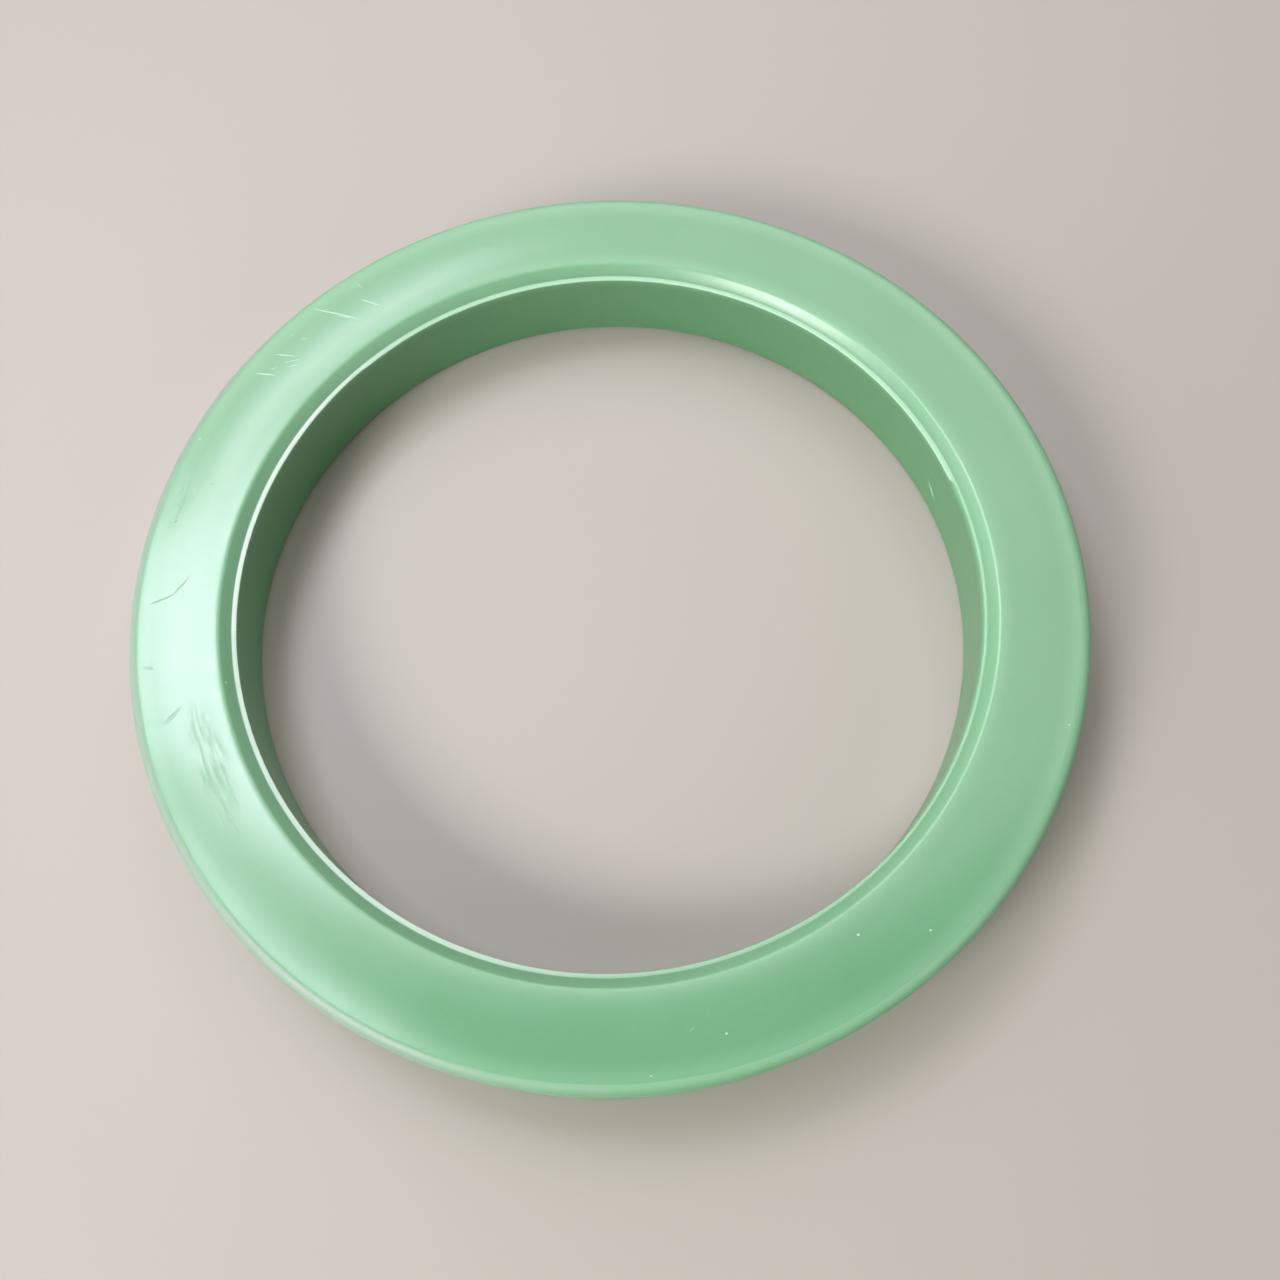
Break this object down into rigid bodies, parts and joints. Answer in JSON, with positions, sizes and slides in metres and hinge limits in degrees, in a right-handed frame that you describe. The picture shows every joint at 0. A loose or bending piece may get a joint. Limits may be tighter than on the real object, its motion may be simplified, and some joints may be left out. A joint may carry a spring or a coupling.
{
  "type": "group head gasket",
  "caption": "Moulded silicone sealing ring for an espresso machine's group head, with flat faces, a rounded outer edge and a chamfered, stepped bore mouth.",
  "frame": {"origin": "centre of the ring on its underside", "axes": "+Z along the ring's axis towards the sealing face with the chamfered mouth; X and Y are free because the ring is round"},
  "size_m": [0.073, 0.073, 0.008],
  "materials": {
    "silicone": "satin translucent green silicone rubber"
  },
  "bodies": {
    "root": {"gasket": "silicone"}
  },
  "joints": []
}
